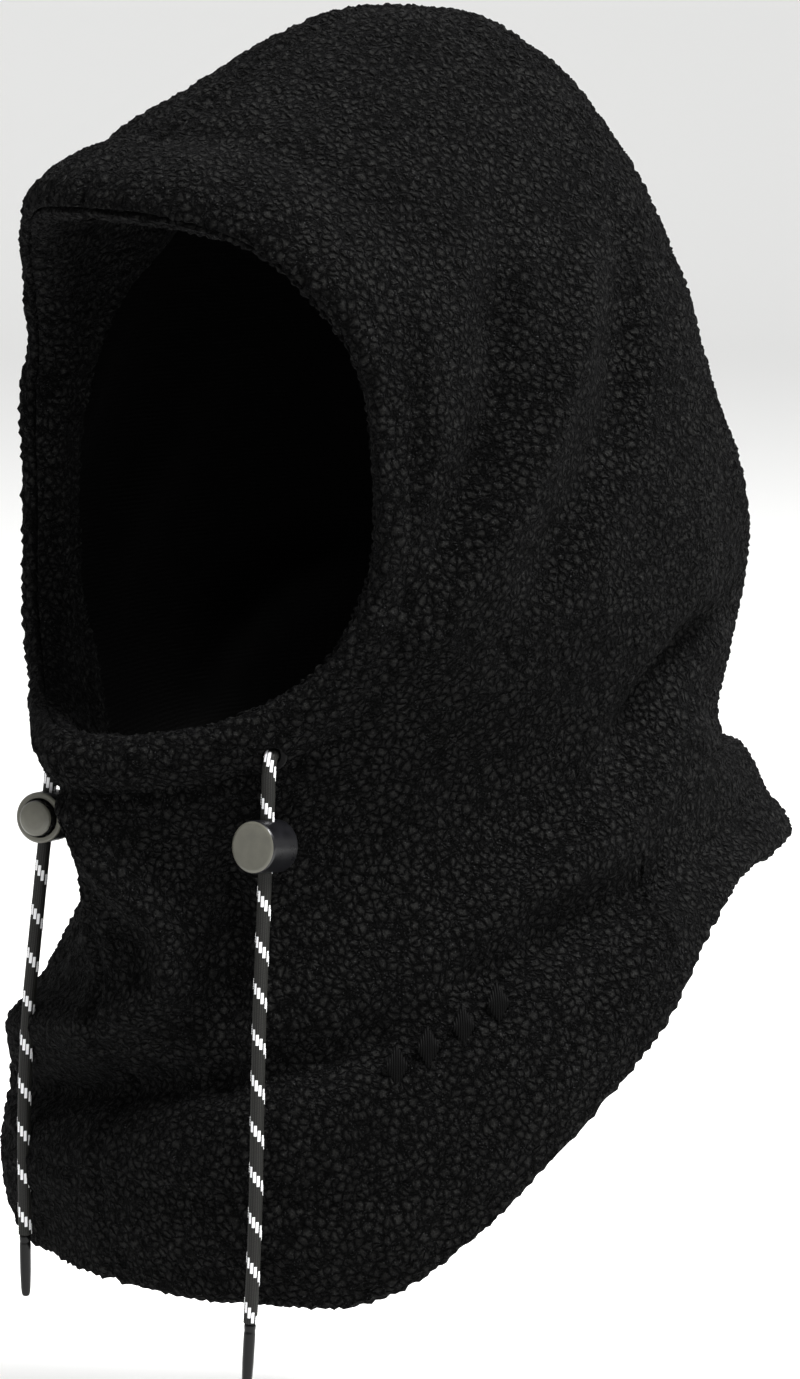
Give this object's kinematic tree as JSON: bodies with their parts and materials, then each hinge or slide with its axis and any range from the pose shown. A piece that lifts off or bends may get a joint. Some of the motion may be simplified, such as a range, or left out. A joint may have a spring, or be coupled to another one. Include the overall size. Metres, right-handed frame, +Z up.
{
  "type": "balaclava hood",
  "caption": "Fleece balaclava hood with an open face, a drawcord round the face opening, eyelets, sprung barrel cord locks and cord tips.",
  "frame": {"origin": "inside of the crown, on the centre plane, where the hood rests on the top of the head", "axes": "+Z up towards the crown's outside, -Y the way the wearer faces, +X the wearer's left"},
  "size_m": [0.2256, 0.2691, 0.386],
  "materials": {
    "fleece": "black curly pile fleece",
    "facing_fleece": "black fleece, smooth knitted back at the face",
    "cord_braid": "round dark grey braid with pale tracer yarns",
    "black_enamel": "gloss black enamel",
    "steel": "plain steel",
    "satin_plastic": "satin black moulded plastic",
    "tip_plastic": "gloss black moulded plastic"
  },
  "bodies": {
    "hood": {"hood_panel_left": "fleece", "hood_panel_right": "fleece", "face_facing_left": "facing_fleece", "face_facing_right": "facing_fleece", "drawcord_tunnel_run": "cord_braid", "drawcord_left_end": "cord_braid", "drawcord_right_end": "cord_braid", "eyelet_left": "black_enamel", "eyelet_right": "black_enamel", "eyelet_washer_left": "steel", "eyelet_washer_right": "steel", "cord_tip_left": "tip_plastic", "cord_tip_right": "tip_plastic"},
    "lock_left": {"lock_left_barrel": "satin_plastic", "lock_left_spring": "steel"},
    "lock_left_button": {"lock_left_button": "satin_plastic"},
    "lock_right": {"lock_right_barrel": "satin_plastic", "lock_right_spring": "steel"},
    "lock_right_button": {"lock_right_button": "satin_plastic"}
  },
  "joints": [
    {"name": "lock_left_slide", "type": "slide", "parent": "hood", "child": "lock_left", "axis": [0.0513, -0.1112, -0.9925], "range_m": [-0.004, 0.036]},
    {"name": "lock_left_press", "type": "slide", "parent": "lock_left", "child": "lock_left_button", "axis": [0.166, -0.979, 0.1183], "range_m": [0, 0.0018], "stiffness_N_per_m": 600, "springref_m": -0.004, "deforming": ["lock_left_spring"]},
    {"name": "lock_right_slide", "type": "slide", "parent": "hood", "child": "lock_right", "axis": [-0.0466, -0.1025, -0.9936], "range_m": [-0.002, 0.038]},
    {"name": "lock_right_press", "type": "slide", "parent": "lock_right", "child": "lock_right_button", "axis": [-0.3874, 0.9187, -0.0766], "range_m": [0, 0.0018], "stiffness_N_per_m": 600, "springref_m": -0.004, "deforming": ["lock_right_spring"]}
  ]
}
